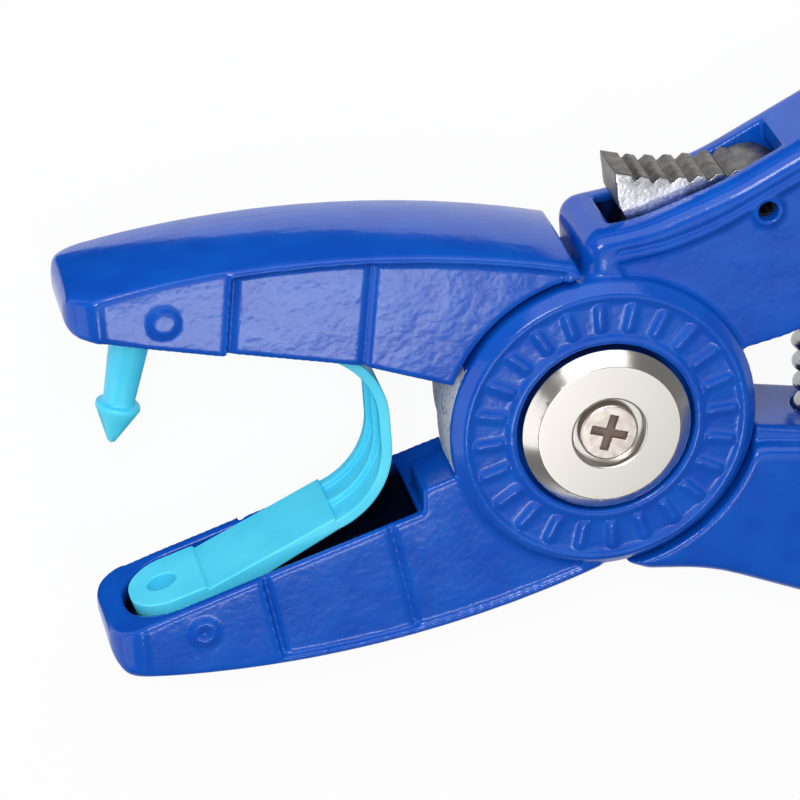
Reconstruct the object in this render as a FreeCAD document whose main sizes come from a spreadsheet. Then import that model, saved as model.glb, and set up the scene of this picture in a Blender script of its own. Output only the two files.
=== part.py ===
# Ear tag applicator: a pair of die-cast pliers with a loop tag loaded in the jaws.
# Two crossing levers turn on one large pivot bolt. The first carries the lower
# jaw, the front hub disk and the upper handle with its thumb lock; the second
# carries the upper jaw, the rear hub disk and the lower handle.
# Millimetres. The part lies on its side: Z is the pivot axis, the jaws point to -X,
# the handles to +X, and the origin is on the pivot axis at the rear face.
import FreeCAD, Part
import math
import os
import re
import Sketcher

os.makedirs("parts", exist_ok=True)
doc = FreeCAD.newDocument("ear_tag_applicator")
V = FreeCAD.Vector

# ---------------------------------------------------------------- driving sizes
SIZES = [
    # hub and pivot
    ("hub_height", 28, "thickness over both hub disks"),
    ("disk_gap", 1, "space between the disks, filled by the thrust washer"),
    ("disk_radius", 27.2, "outer radius of the front hub disk"),
    ("disk_bevel", 2.0, "45 degree bevel round the front disk's face"),
    ("rear_disk_radius", 25.2, "outer radius of the rear hub disk"),
    ("rear_disk_bevel", 1.0, "bevel round the rear disk's face"),
    ("rear_disk_inset", 0.4, "rear disk's face behind the bolt head's"),
    ("lip_width", 0.9, "raised lip at the edge of the face"),
    ("band_recess", 0.4, "depth of the sunk band inside the lip"),
    ("band_inner_radius", 17.3, "inner radius of the sunk band"),
    ("ring_bar_count", 24, "raised bars in the sunk band"),
    ("ring_bar_length", 5, "length of a raised bar"),
    ("ring_bar_width", 1.3, "width of a raised bar"),
    ("hub_gap", 1.2, "air between a disk and the other lever's arms"),
    ("root_radius", 21, "radius inside the disk where an arm's outline starts"),
    ("bolt_radius", 8, "pivot bolt's shank"),
    ("bolt_fit", 0.05, "running clearance on the shank"),
    ("bush_wall", 2, "wall of the bush in the rear disk"),
    ("bolt_head_radius", 15, "rear head of the pivot bolt"),
    ("bolt_head_height", 3, "thickness of that head"),
    ("head_clearance", 0.4, "air round the bolt head"),
    ("washer_radius", 22, "thrust washer's outer radius"),
    ("cap_radius", 15, "front cap's radius"),
    ("cap_clearance", 0.8, "air round the cap"),
    ("cap_pocket_depth", 4, "depth of the cap's pocket"),
    ("cap_rise", 2, "how far the cap stands above the disk"),
    ("cap_bevel", 2.4, "width of the cap's polished bevel"),
    ("ring_thickness", 0.8, "friction ring under the cap"),
    ("screw_radius", 3, "centre screw's shank"),
    ("screw_length", 14, "centre screw's shank length"),
    ("screw_fit", 0.05, "clearance on the screw's shank"),
    ("screw_head_radius", 5.2, "centre screw's head"),
    ("screw_head_height", 1.7, "height of that head"),
    ("screw_head_bevel", 0.3, "bevel round that head"),
    ("screw_well_radius", 6.4, "well in the cap for the head"),
    ("screw_well_depth", 2, "depth of that well"),
    ("cross_width", 1.5, "width of a bar of the cross recess"),
    ("cross_reach", 3.3, "centre of the head to the end of a bar"),
    ("cross_depth", 1.1, "depth of the cross recess"),
    # jaws
    ("jaw_width", 26, "width across a jaw"),
    ("jaw_reach", 90.6, "pivot axis to the tip of the upper jaw"),
    ("lower_setback", 1.7, "how far the lower jaw stops short of the upper one"),
    ("jaw_slope", 15, "degrees between a jaw's rim and the X axis"),
    ("back_radius", 188, "radius of the jaw's back edge, seen from the side"),
    ("back_centre", 59.5, "distance of that arc's centre from the pivot, along X"),
    ("crown_height", 1.4, "height of the arched back over its edges"),
    ("crown_edge_round", 1.6, "rounding along the edges of the arched back"),
    ("upper_back", 39.2, "height of the upper jaw's back edge above the pivot"),
    ("lower_back", 36.4, "depth of the lower jaw's back edge below the pivot"),
    ("upper_throat", 6.46, "upper jaw's rim line above the pivot"),
    ("lower_throat", 2.88, "lower jaw's rim line below the pivot"),
    ("tip_round", 6.5, "rounding of a jaw's tip"),
    ("tip_rim_round", 2.5, "rounding of the rim at the tip"),
    ("tip_crown_round", 5.4, "rounding of the upper jaw's back at the tip"),
    ("step_reach", 64.2, "pivot to the step in the rims"),
    ("step_height", 0.2, "height of that step"),
    ("root_panel_reach", 40.7, "pivot to the groove before the rear panel"),
    ("lower_panel_shift", 2.7, "how much nearer the lower jaw's grooves are"),
    ("panel_lean", 3, "lean of the grooves between panels"),
    ("panel_ledge", 1.3, "ledge left below the back edge"),
    ("middle_panel_depth", 1.1, "depth of the middle side panel"),
    ("rear_panel_depth", 0.8, "depth of the rear side panel"),
    ("panel_near", 5, "pivot to the near end of the rear side panel"),
    ("groove_width", 1.1, "width of the grooves between panels"),
    ("groove_depth", 1.7, "depth of those grooves"),
    ("tray_width", 20.4, "width of the lower jaw's tray"),
    ("tray_depth", 5, "lower jaw's rim line to the tray floor"),
    ("tray_setback", 0.1, "lower jaw's tip to the closed end of the tray"),
    ("socket_setback", 0.6, "upper jaw's tip to the closed end of the socket"),
    ("socket_width", 18.6, "width of the upper jaw's socket"),
    ("support_width", 11, "raised floor under the female end"),
    ("seat_gap", 0.3, "clearance under the tag's female end"),
    ("tip_panel_depth", 0.5, "depth of the sunk panel near the tip"),
    ("tip_panel_border", 1.5, "plain border between that panel and the back edge"),
    ("tip_panel_end", 5.6, "jaw tip to the end of that panel"),
    ("tip_panel_round", 1.5, "rounding of that panel's corner"),
    ("mark_radius", 2.3, "raised peg and ring signs near the tips"),
    ("mark_bore", 1.1, "radius of the ring sign's hole"),
    ("mark_height", 0.45, "height of those signs"),
    ("mark_root", 0.2, "how deep raised marks are rooted in the face"),
    ("sign_setback", 16.2, "jaw tip to the middle of the peg and ring signs"),
    ("sign_height", 5.2, "rim line to the middle of those signs"),
    ("trough_depth", 13, "rim line to the floor of the deep trough"),
    ("trough_near", 35.5, "pivot to the near end of the trough"),
    ("trough_far", 64, "pivot to the far end of the trough"),
    ("socket_depth", 4.6, "upper jaw's rim line to the socket's ceiling"),
    ("socket_near", 44, "pivot to the near end of the socket"),
    ("block_reach", 32.5, "pivot to the front of the raised root block"),
    ("block_height", 4.4, "height of that block above the rim line"),
    ("well_radius", 5.4, "well under the tag's hole"),
    # handles
    ("handle_width", 22, "width across the handle roots"),
    ("grip_width", 28, "width across the grips"),
    ("grip_length", 150, "pivot to the ends of the handles"),
    ("grip_end_round", 9, "rounding of the handle ends"),
    ("grip_edge_round", 5, "rounding along the grips"),
    ("root_edge_round", 3.4, "rounding along the top of the handle roots"),
    ("boss_top", 34.4, "height of the boss at the front of the upper handle"),
    ("upper_end_top", 78, "upper handle's end, outer edge"),
    ("upper_end_bottom", 54, "upper handle's end, inner edge"),
    ("upper_bend_x", 88, "outer bend of the upper grip"),
    ("upper_bend_top", 70, "outer bend of the upper grip"),
    ("upper_palm_x", 110, "inner bend of the upper grip"),
    ("upper_palm_bottom", 48, "inner bend of the upper grip"),
    ("lower_end_bottom", 64, "lower handle's end, outer edge"),
    ("lower_end_top", 41, "lower handle's end, inner edge"),
    ("lower_bend_x", 75, "outer bend of the lower grip"),
    ("lower_bend_bottom", 57, "outer bend of the lower grip"),
    ("lower_finger_x", 106, "inner bend of the lower grip"),
    ("lower_finger_top", 37, "inner bend of the lower grip"),
    ("knee_x", 60, "inner knee of both handles"),
    ("upper_knee", 19.5, "inner knee of the upper handle above the pivot"),
    ("lower_knee", 16.5, "inner knee of the lower handle below the pivot"),
    ("lower_root_width", 20, "width across the lower handle's neck"),
    ("palm_width", 25, "width across the lower handle beside the hub"),
    ("palm_edge_round", 2.2, "rounding along the lower handle"),
    ("web_recess", 0.8, "depth of the sunk side of the upper handle's root"),
    ("ridge_width", 1.4, "width of the ridge over the sunk side"),
    ("channel_width", 19, "hollow in the inner side of the grips"),
    ("channel_floor", 7, "thickness left outside that hollow"),
    # thumb lock
    ("pin_x", 31.0, "thumb lever's pin"),
    ("pin_y", 34.7, "thumb lever's pin"),
    ("pin_radius", 1.75, "roll pin"),
    ("pin_wall", 0.5, "wall of the roll pin"),
    ("pin_fit", 0.06, "clearance of the pin in the thumb lever"),
    ("pin_press", 0.01, "clearance of the pin in the handle"),
    ("pin_recess", 2.4, "how deep the pin sits in its hole"),
    ("pin_boss_radius", 2.7, "ring cast round the pin hole"),
    ("thumb_width", 10.8, "width of the thumb lever"),
    ("slot_clearance", 0.45, "air on each side of the thumb lever"),
    ("thumb_tilt", 5, "degrees the thumb lever leans at rest"),
    ("thumb_reach", 26.0, "pin to the thumb lever's nose"),
    ("thumb_top", 5.2, "pin to the middle of the hollow serrated top"),
    ("thumb_hollow", 1.5, "hollow of the serrated top"),
    ("thumb_bottom", 3.1, "pin to the underside"),
    ("thumb_barrel", 6.5, "radius round the pin"),
    ("tooth_pitch", 3.3, "pitch of the serrations"),
    ("tooth_depth", 1.2, "depth of the serrations"),
    ("tooth_count", 7, "number of serrations"),
    ("tooth_start", 22.4, "pin to the first serration"),
    ("slot_front", 4.2, "front wall of the slot"),
    ("slot_end", 4.2, "pin to the far end of the slot at its mouth"),
    ("slot_floor", 27.7, "floor of the slot above the pivot"),
    ("pawl_x", 10.5, "locking pawl under the thumb lever"),
    ("pawl_length", 3, "length of the pawl along the lever"),
    ("pawl_z", 3.2, "pawl behind the middle plane"),
    ("pawl_window", 0.5, "air round the pawl in the slot's floor"),
    ("pawl_width", 4, "width of the pawl"),
    ("lock_notch_depth", 2.4, "notch in the rear disk's edge"),
    ("lock_notch_width", 3, "width of that notch at its floor"),
    ("lock_notch_angle", 44, "degrees from the X axis to that notch"),
    # springs
    ("spring_x", 44.5, "return spring's place along the handles"),
    ("spring_radius", 6.2, "return spring, to the middle of its wire"),
    ("spring_wire", 1.9, "return spring's wire"),
    ("spring_turns", 9, "return spring's turns"),
    ("spring_cup_height", 1.5, "cast cup round the foot of the spring"),
    ("spring_cup_wall", 1.1, "wall of that cup"),
    ("spring_seat", 11.4, "foot of the spring below the pivot"),
    ("spring_top", 27, "top of the spring above the pivot"),
    ("spring_clearance", 0.4, "air round the spring's foot"),
    ("button_x", 17.5, "small spring under the thumb lever"),
    ("button_radius", 1.9, "small spring, to the middle of its wire"),
    ("button_wire", 0.6, "small spring's wire"),
    ("button_turns", 5, "small spring's turns"),
    ("button_seat", 2, "depth of the small spring's seats"),
    # tag
    ("tag_width", 16, "width of the tag"),
    ("spike_setback", 8.1, "upper jaw's tip to the tag's spike"),
    ("hole_setback", 7.6, "lower jaw's tip to the tag's hole"),
    ("tag_end_radius", 7.2, "rounding of the tag's ends"),
    ("female_nose", 6.1, "hole to the end of the female end"),
    ("plate_thickness", 2.6, "male end's plate"),
    ("strap_thickness", 2.4, "strap of the tag"),
    ("strap_seat", 1.5, "male plate's underside below the upper rim line"),
    ("plate_near", 58, "pivot to the near end of the male plate"),
    ("spike_root_radius", 3.7, "spike where it leaves the plate"),
    ("spike_neck_radius", 2.8, "spike above its barb"),
    ("spike_neck", 14.1, "length of the spike down to its barb"),
    ("barb_radius", 3.9, "widest place of the barb"),
    ("barb_length", 7.8, "length of the barb"),
    ("hole_radius", 2.65, "hole in the female end"),
    ("female_rise", 0.6, "female end's top above the lower rim line"),
    ("female_thickness", 3.2, "female end's thickness"),
    ("female_setback", 7.4, "hole to the step behind it"),
    ("female_boss_radius", 4.6, "boss under the hole"),
    ("female_boss_height", 3.4, "height of that boss"),
    ("strap_slope", 23, "degrees between the straight strap and the X axis"),
    ("strap_near", 49.1, "pivot to the end of the straight strap"),
    ("strap_lift", 3.5, "rise of the straight strap over the rim line"),
    ("loop_thickness", 1.9, "loop's thickness over its ribs"),
    ("loop_channel", 1.1, "depth of the channels between the loop's ribs"),
    ("loop_rib", 1.5, "width of the loop's middle rib"),
    ("loop_border", 2.2, "width of the loop's side ribs"),
    ("loop_x", 36.6, "pivot to the outermost part of the loop"),
    ("loop_radius", 15.5, "bend of the loop"),
    # tag clip
    ("clip_width", 8, "leaf spring in the socket"),
    ("clip_thickness", 0.8, "leaf spring's sheet"),
    ("clip_screw_reach", 52, "pivot to the leaf spring's screw"),
    ("clip_screw_radius", 1.5, "leaf spring's screw"),
    ("clip_head_radius", 2.8, "head of that screw"),
    ("clip_end", 79, "pivot to the free end of the leaf"),
]
NAMES = [size[0] for size in SIZES]
WORD = re.compile(r"\b(" + "|".join(NAMES) + r")\b")

sheet = doc.addObject("Spreadsheet::Sheet", "dims")
for row, (name, amount, note) in enumerate(SIZES, 1):
    sheet.set(f"A{row}", str(amount))
    sheet.setAlias(f"A{row}", name)
    sheet.set(f"B{row}", note)
doc.recompute()


def bound(text):
    """A formula in plain size names, as FreeCAD reads it."""
    return WORD.sub(r"dims.\1", str(text))


def value(text):
    return float(sheet.evalExpression(bound(text)))


def bind(thing, prop, text):
    thing.setExpression(prop, bound(text))


# ------------------------------------------------------------- sketching helpers
def make_body(name):
    body = doc.addObject("PartDesign::Body", name)
    body.Label = name
    return body


def raise_to_middle(body, angle="0"):
    """Bodies are drawn about the middle plane of the hub, then set at its height."""
    bind(body, "Placement.Base.z", "hub_height / 2")
    bind(body, "Placement.Rotation.Angle", angle)


def make_sketch(body, name, plane="XY_Plane", offset=("0", "0", "0")):
    sketch = body.newObject("Sketcher::SketchObject", name)
    support = [f for f in body.Origin.OriginFeatures if f.Role == plane][0]
    sketch.AttachmentSupport = [(support, "")]
    sketch.MapMode = "FlatFace"
    for axis, text in zip("xyz", offset):
        bind(sketch, f"AttachmentOffset.Base.{axis}", text)
    doc.recompute([sketch])
    return sketch


def pin_point(sketch, geometry, position, x, y):
    """Hold one point of a sketch at a place given by two formulas."""
    for kind, text in (("DistanceX", x), ("DistanceY", y)):
        number = sketch.addConstraint(
            Sketcher.Constraint(kind, -1, 1, geometry, position, value(text)))
        bind(sketch, f"Constraints[{number}]", text)


def size_radius(sketch, geometry, text):
    number = sketch.addConstraint(Sketcher.Constraint("Radius", geometry, value(text)))
    bind(sketch, f"Constraints[{number}]", text)


def draw_circle(sketch, x, y, radius):
    centre = V(value(x), value(y), 0)
    geometry = sketch.addGeometry(Part.Circle(centre, V(0, 0, 1), value(radius)))
    pin_point(sketch, geometry, 3, x, y)
    size_radius(sketch, geometry, radius)


def draw_outline(sketch, corners, closed=True):
    """Straight outline through corners (x, y) or (x, y, rounding), all formulas."""
    corners = [tuple(str(c) for c in corner) for corner in corners]
    count = len(corners)
    points = [V(value(c[0]), value(c[1]), 0) for c in corners]
    ends = {}
    arcs = {}
    for i, corner in enumerate(corners):
        inner = closed or 0 < i < count - 1
        if len(corner) < 3 or not inner:
            ends[i] = (points[i], points[i])
            continue
        back = (points[i - 1] - points[i]).normalize()
        ahead = (points[(i + 1) % count] - points[i]).normalize()
        half = back.getAngle(ahead) / 2
        radius = value(corner[2])
        reach = radius / math.tan(half)
        middle = points[i] + (back + ahead).normalize() * (radius / math.sin(half))
        start, stop = points[i] + back * reach, points[i] + ahead * reach
        ends[i] = (start, stop)
        turns_left = back.cross(ahead).z < 0
        first, last = (start, stop) if turns_left else (stop, start)
        angles = [math.atan2(p.y - middle.y, p.x - middle.x) for p in (first, last)]
        arcs[i] = (sketch.addGeometry(Part.ArcOfCircle(
            Part.Circle(middle, V(0, 0, 1), radius), *angles)), turns_left)
    lines = {}
    for i in range(count if closed else count - 1):
        j = (i + 1) % count
        lines[i] = sketch.addGeometry(Part.LineSegment(ends[i][1], ends[j][0]))
    for i, corner in enumerate(corners):
        before = lines.get((i - 1) % count) if closed or i else None
        after = lines.get(i)
        if i not in arcs:
            if before is not None and after is not None:
                sketch.addConstraint(Sketcher.Constraint("Coincident", before, 2, after, 1))
            if after is not None:
                pin_point(sketch, after, 1, corner[0], corner[1])
            else:
                pin_point(sketch, before, 2, corner[0], corner[1])
            continue
        arc, turns_left = arcs[i]
        start, stop = (1, 2) if turns_left else (2, 1)
        knot = sketch.addGeometry(Part.Point(points[i]), True)
        pin_point(sketch, knot, 1, corner[0], corner[1])
        sketch.addConstraint([
            Sketcher.Constraint("PointOnObject", knot, 1, before),
            Sketcher.Constraint("PointOnObject", knot, 1, after),
            Sketcher.Constraint("Tangent", before, 2, arc, start),
            Sketcher.Constraint("Tangent", arc, stop, after, 1)])
        size_radius(sketch, arc, corner[2])


def pad(body, name, sketch, length, both_ways=True, reverse=False):
    feature = body.newObject("PartDesign::Pad", name)
    feature.Profile = sketch
    bind(feature, "Length", length)
    feature.Midplane = both_ways
    feature.Reversed = reverse
    doc.recompute()
    return feature


def pocket(body, name, sketch, length, both_ways=True, reverse=False):
    before = body.Shape.Volume
    feature = body.newObject("PartDesign::Pocket", name)
    feature.Profile = sketch
    feature.Midplane = both_ways
    feature.Reversed = reverse
    bind(feature, "Length", length)
    doc.recompute()
    if not feature.Shape.Volume < before:
        raise RuntimeError(f"{body.Label}: {name} cut nothing")
    return feature


def revolve(body, name, sketch, angle="360"):
    feature = body.newObject("PartDesign::Revolution", name)
    feature.Profile = sketch
    feature.ReferenceAxis = (sketch, ["V_Axis"])
    bind(feature, "Angle", angle)
    feature.Midplane = angle != "360"
    doc.recompute()
    return feature


def mirror_sides(body, name, features):
    """Repeat side features on the far face, across the middle plane of the hub."""
    feature = body.newObject("PartDesign::Mirrored", name)
    feature.Originals = features
    plane = [f for f in body.Origin.OriginFeatures if f.Role == "XY_Plane"][0]
    feature.MirrorPlane = (plane, [""])
    body.Tip = feature
    doc.recompute()
    return feature


def turn_copies(body, name, features, count):
    """Repeat features evenly round the pivot axis."""
    feature = body.newObject("PartDesign::PolarPattern", name)
    feature.Originals = features
    axis = [f for f in body.Origin.OriginFeatures if f.Role == "Z_Axis"][0]
    feature.Axis = (axis, [""])
    feature.Angle = 360
    bind(feature, "Occurrences", count)
    body.Tip = feature
    doc.recompute()
    return feature


def round_edges(body, name, base, radius, wanted):
    """Fillet the edges of one feature that a test on their middle points picks."""
    edges = []
    for number, edge in enumerate(base.Shape.Edges, 1):
        middle = edge.valueAt((edge.FirstParameter + edge.LastParameter) / 2)
        if wanted(edge, middle):
            edges.append(f"Edge{number}")
    feature = body.newObject("PartDesign::Fillet", name)
    feature.Base = (base, edges)
    bind(feature, "Radius", radius)
    doc.recompute()
    return feature


# ------------------------------------------------------------------ shared forms
HALF = "hub_height / 2"
DISK_IN = "disk_gap / 2"
BORE = "bolt_radius + bolt_fit"
LOWER_REACH = "(jaw_reach - lower_setback)"
FAR = "(jaw_reach + 40)"
SPIKE_REACH = "(jaw_reach - spike_setback)"
HOLE_REACH = f"({LOWER_REACH} - hole_setback)"
TRAY_END = f"({LOWER_REACH} - tray_setback)"
SOCKET_END = "(jaw_reach - socket_setback)"
FEMALE_NEAR = f"({HOLE_REACH} - female_setback)"


def upper_rim(reach, drop="0"):
    return f"upper_throat / cos(jaw_slope) + tan(jaw_slope) * ({reach}) - ({drop})"


def lower_rim(reach, drop="0"):
    return f"-(lower_throat / cos(jaw_slope) + tan(jaw_slope) * ({reach}) + ({drop}))"


def jaw_blank(body, side, back, reach, outline):
    """An arched bar swept about a far centre, then cut to the jaw's outline.
    side is 1 for the upper jaw and -1 for the lower one, reach the place of its tip."""
    centre = f"{side} * ({back} - back_radius)"
    sketch = make_sketch(body, "back_section", "YZ_Plane", (centre, "0", "-back_centre"))
    half = "jaw_width / 2"
    edge = f"{side} * back_radius"
    root = f"{side} * (back_radius - 34)"
    draw_outline(sketch, [(root, f"-{half}"), (edge, f"-{half}"), (edge, half), (root, half)])
    revolve(body, "back_bar", sketch, "36")
    arch = make_sketch(body, "arch_section", "YZ_Plane", (centre, "0", "-back_centre"))
    draw_arch(arch, side)
    bar = revolve(body, "back_arch", arch, "36")
    trim = make_sketch(body, "side_outline")
    draw_outline(trim, outline)
    draw_outline(trim, [(f"-{FAR}", "-80"), ("12", "-80"), ("12", "80"), (f"-{FAR}", "80")])
    pocket(body, "side_trim", trim, "jaw_width * 2")
    plan = make_sketch(body, "tip_plan", "XZ_Plane")
    wide = "(jaw_width / 2)"
    straight = f"-{reach} + 2 * tip_round"
    draw_outline(plan, [
        (straight, f"{wide} + 9"), (f"-{FAR}", f"{wide} + 9"),
        (f"-{FAR}", f"-{wide} - 9"), (straight, f"-{wide} - 9"),
        (straight, f"-{wide}"), (f"-{reach}", f"-{wide}", "tip_round"),
        (f"-{reach}", wide, "tip_round"), (straight, wide)])
    blank = pocket(body, "tip_rounding", plan, "200")
    level = value(back) - 6

    def crown_edge(edge, middle):
        across = abs(middle.z) > value("jaw_width") / 2 - value("tip_round")
        return side * middle.y > level - drop_at(middle.x) and across and is_crown(edge)
    return round_edges(body, "crown_rounding", blank, "crown_edge_round", crown_edge)


def drop_at(x):
    """How far a jaw's back edge has fallen away at a place along X."""
    radius = value("back_radius")
    return radius - math.sqrt(radius ** 2 - (-x - value("back_centre")) ** 2)


def is_crown(edge):
    """Whether an edge runs along the jaw rather than up its side."""
    box = edge.BoundBox
    return box.XLength > 0.8 * box.YLength


def draw_arch(sketch, side):
    """The arched back in section: a flat arc over the bar's full width."""
    half, rise, edge = value("jaw_width / 2"), value("crown_height"), value("back_radius") * side
    radius = (half * half + rise * rise) / (2 * rise)
    middle = V(edge + side * (rise - radius), 0, 0)
    spread = math.asin(half / radius)
    turn = 0 if side > 0 else math.pi
    arc = sketch.addGeometry(Part.ArcOfCircle(
        Part.Circle(middle, V(0, 0, 1), radius), turn - spread, turn + spread))
    chord = sketch.addGeometry(Part.LineSegment(
        V(edge, side * half, 0), V(edge, -side * half, 0)))
    sketch.addConstraint([
        Sketcher.Constraint("Coincident", arc, 2, chord, 1),
        Sketcher.Constraint("Coincident", arc, 1, chord, 2)])
    pin_point(sketch, chord, 1, f"{side} * back_radius", f"{side} * jaw_width / 2")
    pin_point(sketch, chord, 2, f"{side} * back_radius", f"-({side}) * jaw_width / 2")
    size_radius(sketch, arc,
                "((jaw_width / 2) ^ 2 + crown_height ^ 2) / (2 * crown_height)")


def back_edge(side, back, reach, ledge="panel_ledge"):
    """Height of the ledge under a jaw's back edge at a distance from the pivot."""
    drop = f"(back_radius - sqrt(back_radius ^ 2 - (({reach}) - back_centre) ^ 2))"
    return f"{side} * ({back} - {drop} - {ledge})"


def side_panels(body, side, back, reach, rim, rim_end, shift="0"):
    """Sunk panels, grooves and a raised sign on each side of a jaw.
    rim is the jaw's rim line, rim_end a height beyond it, inside the mouth, and shift
    how much nearer to the pivot the grooves lie."""
    top = "jaw_width / 2"
    lean = "1.6 * panel_lean"
    step = f"(step_reach - panel_lean - {shift})"
    root = f"(root_panel_reach - panel_lean - {shift})"
    spans = [
        ("middle_panel", step, root, "middle_panel_depth"),
        ("rear_panel", root, "panel_near", "rear_panel_depth"),
        ("step_groove", f"{step} + groove_width", step, "groove_depth"),
        ("rear_groove", f"{root} + groove_width", root, "groove_depth")]
    cuts = []
    for name, far, near, depth in spans:
        sketch = make_sketch(body, name + "_outline", offset=("0", "0", top))
        steps = [f"({near}) + (({far}) - ({near})) * {i} / 4" for i in range(5)]
        draw_outline(sketch, [(f"-({x})", back_edge(side, back, x)) for x in steps] + [
            (f"-({far} + {lean})", f"{side} * ({rim_end})"),
            (f"-({near} + {lean})", f"{side} * ({rim_end})")])
        cuts.append(pocket(body, name, sketch, depth, both_ways=False))
    near, far = f"({step} + groove_width)", f"({reach} - tip_panel_end)"
    ledge = "panel_ledge + tip_panel_border"
    beyond = f"{side} * ({rim_end})"
    panel = make_sketch(body, "tip_panel_outline", offset=("0", "0", top))
    draw_outline(panel, [
        (f"-{near}", back_edge(side, back, near, ledge)),
        (f"-({near} + {far}) / 2", back_edge(side, back, f"({near} + {far}) / 2", ledge)),
        (f"-{far}", back_edge(side, back, far, ledge), "tip_panel_round"),
        (f"-{far}", beyond), (f"-({near} + {lean})", beyond)])
    cuts.append(pocket(body, "tip_panel", panel, "tip_panel_depth", both_ways=False))
    spot = f"({reach} - sign_setback)"
    height = f"({rim(spot, 'step_height')} + {side} * sign_height)"
    root_face = f"{top} - tip_panel_depth - mark_root"
    sign = make_sketch(body, "sign_outline", offset=("0", "0", root_face))
    draw_circle(sign, f"-{spot}", height, "mark_radius")
    if side < 0:
        draw_circle(sign, f"-{spot}", height, "mark_bore")
    cuts.append(pad(body, "sign", sign, "mark_height + mark_root", both_ways=False))
    return mirror_sides(body, "far_panels", cuts)


def hub_disk(body, name, profile):
    sketch = make_sketch(body, name + "_profile", "XZ_Plane")
    draw_outline(sketch, profile)
    return revolve(body, name, sketch)


def rounded_slab(name, outline, width, rounding, wanted):
    """A slab of a side outline whose long edges are rounded where a test says so."""
    body = make_body(name)
    sketch = make_sketch(body, "outline")
    draw_outline(sketch, outline)
    slab = pad(body, "slab", sketch, width)
    level = value(width) / 2

    def long_edge(edge, middle):
        on_face = abs(abs(middle.z) - level) < 1e-3 and edge.BoundBox.ZLength < 1e-3
        return on_face and wanted(middle)
    round_edges(body, "rounding", slab, rounding, long_edge)
    return body


def fuse_with(body, name, other):
    feature = body.newObject("PartDesign::Boolean", name)
    feature.Type = "Fuse"
    feature.setObjects([other])
    body.Tip = feature
    doc.recompute()
    return feature


def channel(body, name, outline):
    """The hollow in the inner side of a grip."""
    sketch = make_sketch(body, name + "_outline")
    draw_outline(sketch, outline)
    return pocket(body, name, sketch, "channel_width")


# ------------------------------------------------------------------ first lever
def lower_jaw_lever():
    body = make_body("lower_jaw_lever")
    jaw_blank(body, -1, "lower_back", LOWER_REACH, [
        ("-root_radius", lower_rim("root_radius")),
        ("-step_reach", lower_rim("step_reach")),
        ("-step_reach - 0.7", lower_rim("step_reach", "step_height")),
        (f"-{LOWER_REACH}", lower_rim(LOWER_REACH, "step_height"), "tip_rim_round"),
        (f"-{LOWER_REACH}", "-lower_back - crown_height + 3", "tip_round"),
        (f"-{LOWER_REACH} + 12", "-lower_back - crown_height + 0.4"),
        ("-back_centre", "-lower_back - crown_height - 2"),
        ("-2", "-lower_back - 2"), ("-2", "-root_radius")])
    side_panels(body, -1, "lower_back", LOWER_REACH, lower_rim, "3", "lower_panel_shift")
    hub_disk(body, "front_disk", [
        (BORE, DISK_IN), ("disk_radius", DISK_IN), ("disk_radius", f"{HALF} - disk_bevel"),
        ("disk_radius - disk_bevel", HALF),
        ("disk_radius - disk_bevel - lip_width", HALF),
        ("disk_radius - disk_bevel - lip_width - band_recess", f"{HALF} - band_recess"),
        ("band_inner_radius + band_recess", f"{HALF} - band_recess"),
        ("band_inner_radius", HALF), ("cap_radius + cap_clearance", HALF),
        ("cap_radius + cap_clearance", f"{HALF} - cap_pocket_depth"),
        (BORE, f"{HALF} - cap_pocket_depth")])
    root_face = f"{HALF} - band_recess - mark_root"
    bar = make_sketch(body, "ring_bar_outline", offset=("0", "0", root_face))
    middle = "((band_inner_radius + disk_radius - disk_bevel - lip_width) / 2)"
    rectangle(bar, f"{middle} - ring_bar_length / 2", f"{middle} + ring_bar_length / 2",
              "-ring_bar_width / 2", "ring_bar_width / 2", "ring_bar_width / 2.2")
    bar = pad(body, "ring_bar", bar, "band_recess + mark_root", both_ways=False)
    turn_copies(body, "ring_bars", [bar], "ring_bar_count")
    block = make_sketch(body, "root_block_outline", offset=("0", "0", DISK_IN))
    draw_outline(block, [
        ("-root_radius", lower_rim("root_radius", "1")),
        ("-root_radius", lower_rim("root_radius", "-block_height")),
        ("-block_reach", lower_rim("block_reach", "-block_height"), "1.2"),
        ("-block_reach - 0.3", lower_rim("block_reach", "1"))])
    pad(body, "root_block", block, "jaw_width / 2 - rear_panel_depth - disk_gap / 2",
        both_ways=False)
    fuse_with(body, "handle_fusion", upper_handle())
    clearance = make_sketch(body, "rear_disk_space", offset=("0", "0", DISK_IN))
    draw_circle(clearance, "0", "0", "rear_disk_radius + hub_gap")
    pocket(body, "rear_disk_clearance", clearance, "hub_height", both_ways=False)
    tray(body)
    thumb_slot(body)
    return_spring_channel(body)
    raise_to_middle(body)
    return body


def upper_handle():
    inner = [("root_radius + 1", "8.6"), ("-1.6", "root_radius")]
    outline = [
        inner[0], inner[1], ("-1.6", "boss_top", "4"), ("9.5", "boss_top + 0.9", "30"),
        ("24.7", "boss_top + 5.5", "50"), ("44", "boss_top + 14.3", "70"),
        ("72", "60.5"), ("80", "56"), ("80", "34"), ("knee_x", "upper_knee", "60"),
        ("34", "10.6", "20")]
    grip = [
        ("61", "54.6", "2"), ("upper_bend_x", "upper_bend_top", "110"),
        ("grip_length", "upper_end_top", "grip_end_round"),
        ("grip_length", "upper_end_bottom", "grip_end_round"),
        ("upper_palm_x", "upper_palm_bottom", "90"), ("66", "24", "4")]
    body = rounded_slab("upper_handle", outline, "handle_width", "root_edge_round",
                        lambda p: p.y > value("boss_top") - 8 and p.x < 60)
    sunk_web(body)
    fuse_with(body, "grip_fusion", rounded_slab(
        "upper_grip", grip, "grip_width", "grip_edge_round", lambda p: True))
    return body


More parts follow.
